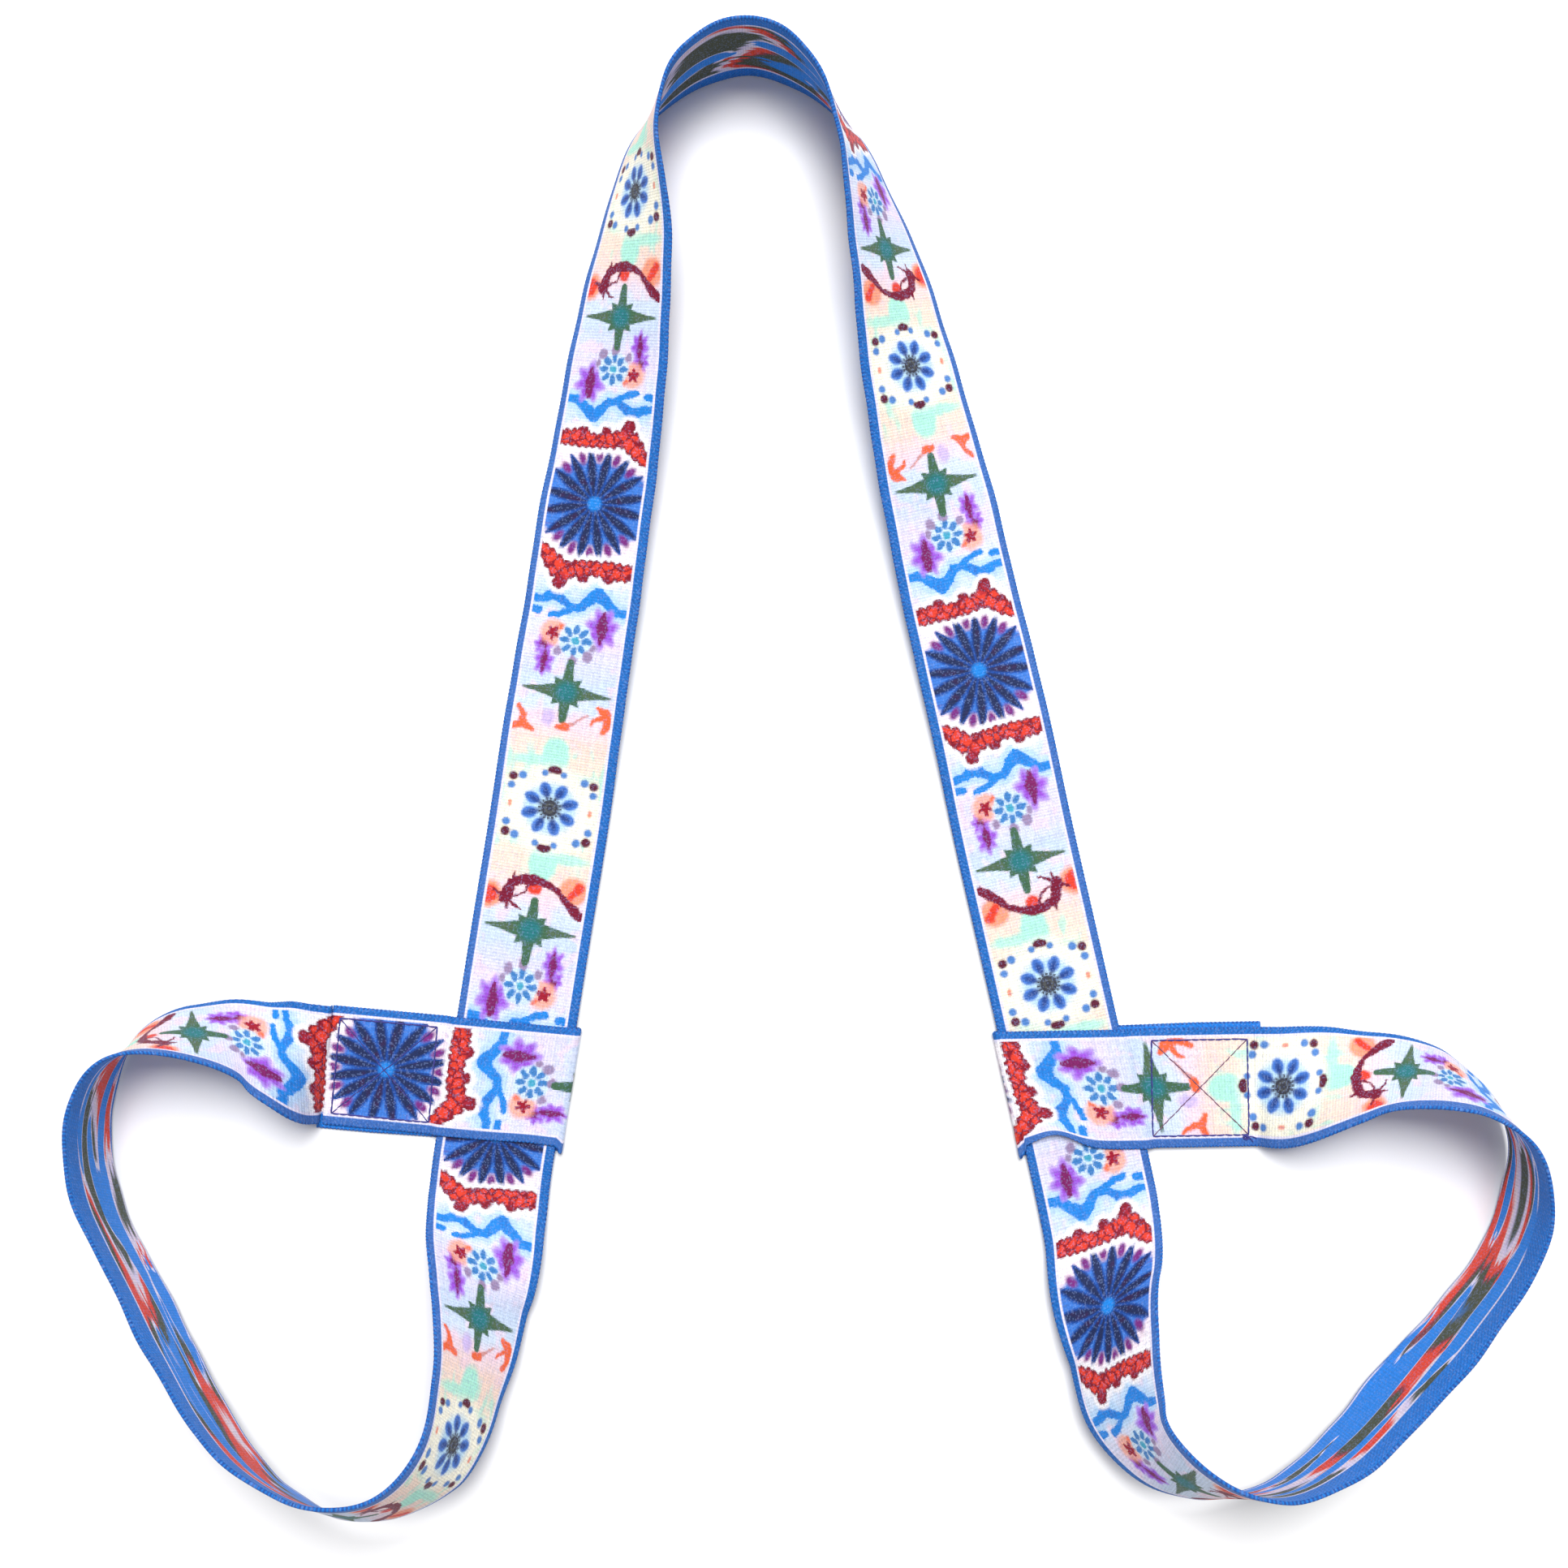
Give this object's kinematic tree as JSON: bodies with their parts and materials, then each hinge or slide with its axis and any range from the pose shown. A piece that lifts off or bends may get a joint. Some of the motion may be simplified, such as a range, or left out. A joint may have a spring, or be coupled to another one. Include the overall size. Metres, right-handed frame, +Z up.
{
  "type": "mat carrying strap",
  "caption": "Long woven ribbon with a sewn end loop sliding on each leg, making two cinching carry loops and a shoulder arch.",
  "frame": {"origin": "middle of the laid-out outline, at table height", "axes": "+Z up from the table, +Y from the carry loops to the shoulder arch, +X to the right of the strap seen from above"},
  "size_m": [0.4457, 0.4556, 0.0531],
  "materials": {
    "jacquard_webbing": "matt woven pattern in blue, red, green and cream",
    "seam_thread": "dark blue twisted sewing thread"
  },
  "bodies": {
    "strap": {"left_carry_loop": "jacquard_webbing", "left_leg": "jacquard_webbing", "shoulder_arch": "jacquard_webbing", "right_leg": "jacquard_webbing", "right_carry_loop": "jacquard_webbing"},
    "left_slider": {"left_end_loop": "jacquard_webbing", "left_needle_thread": "seam_thread", "left_bobbin_thread": "seam_thread"},
    "right_slider": {"right_end_loop": "jacquard_webbing", "right_needle_thread": "seam_thread", "right_bobbin_thread": "seam_thread"}
  },
  "joints": [
    {"name": "left_slip", "type": "slide", "parent": "strap", "child": "left_slider", "axis": [0.1599, 0.9871, 0], "range_m": [-0.008, 0.04], "deforming": ["left_carry_loop"]},
    {"name": "right_slip", "type": "slide", "parent": "strap", "child": "right_slider", "axis": [-0.2233, 0.9748, 0], "range_m": [-0.008, 0.04], "deforming": ["right_carry_loop"]}
  ]
}
